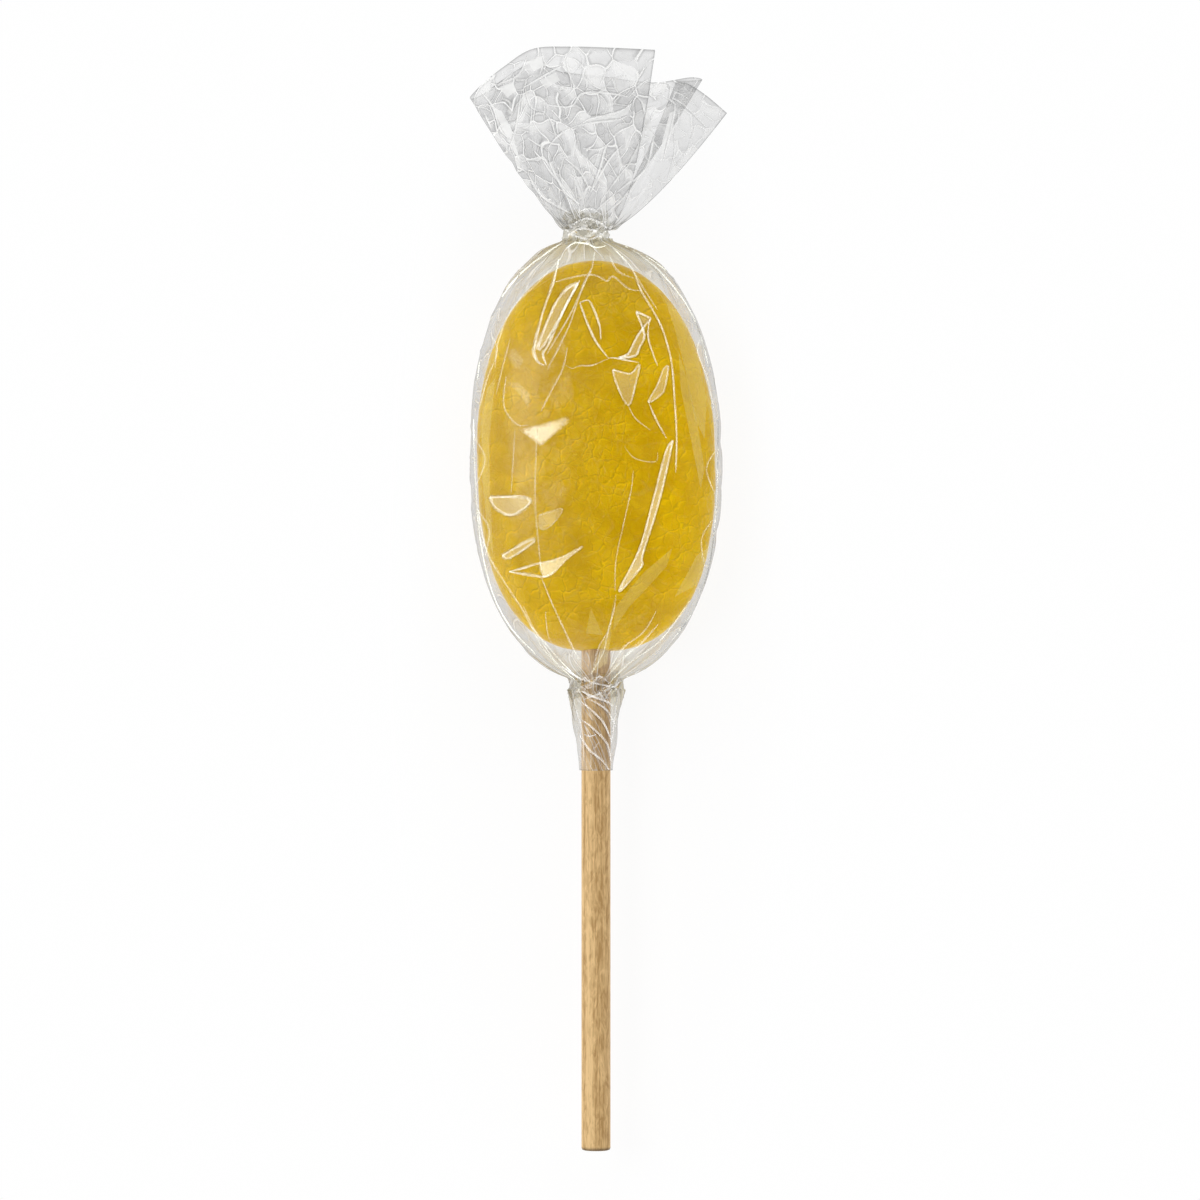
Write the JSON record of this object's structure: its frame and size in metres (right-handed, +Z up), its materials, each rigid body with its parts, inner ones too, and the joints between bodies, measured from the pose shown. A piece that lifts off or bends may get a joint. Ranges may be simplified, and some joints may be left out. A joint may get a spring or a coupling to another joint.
{
  "type": "wrapped lollipop",
  "caption": "Oval yellow boiled-sweet lollipop on a round wooden dowel, wrapped in clear crinkled film twisted shut above the sweet and around the stick, lying on its back.",
  "frame": {"origin": "on the floor, at the middle of the small flat spot on the back of the wrapped sweet that the lollipop lies on, under the sweet's centre", "axes": "+Y runs along the stick towards the tuft of film, the longest extent; +X is the sweet's width, to the right with the tuft up; +Z is up, through the sweet's thickness, the shortest extent"},
  "size_m": [0.0535, 0.2275, 0.0255],
  "materials": {
    "yellow_sugar": "cloudy yellow boiled sugar with a smooth glossy face",
    "pale_wood": "pale unvarnished birch dowel with fine grain along its length",
    "clear_film": "thin clear glossy film with sharp crinkles"
  },
  "bodies": {
    "root": {"candy": "yellow_sugar", "stick": "pale_wood", "film": "clear_film"}
  },
  "joints": []
}
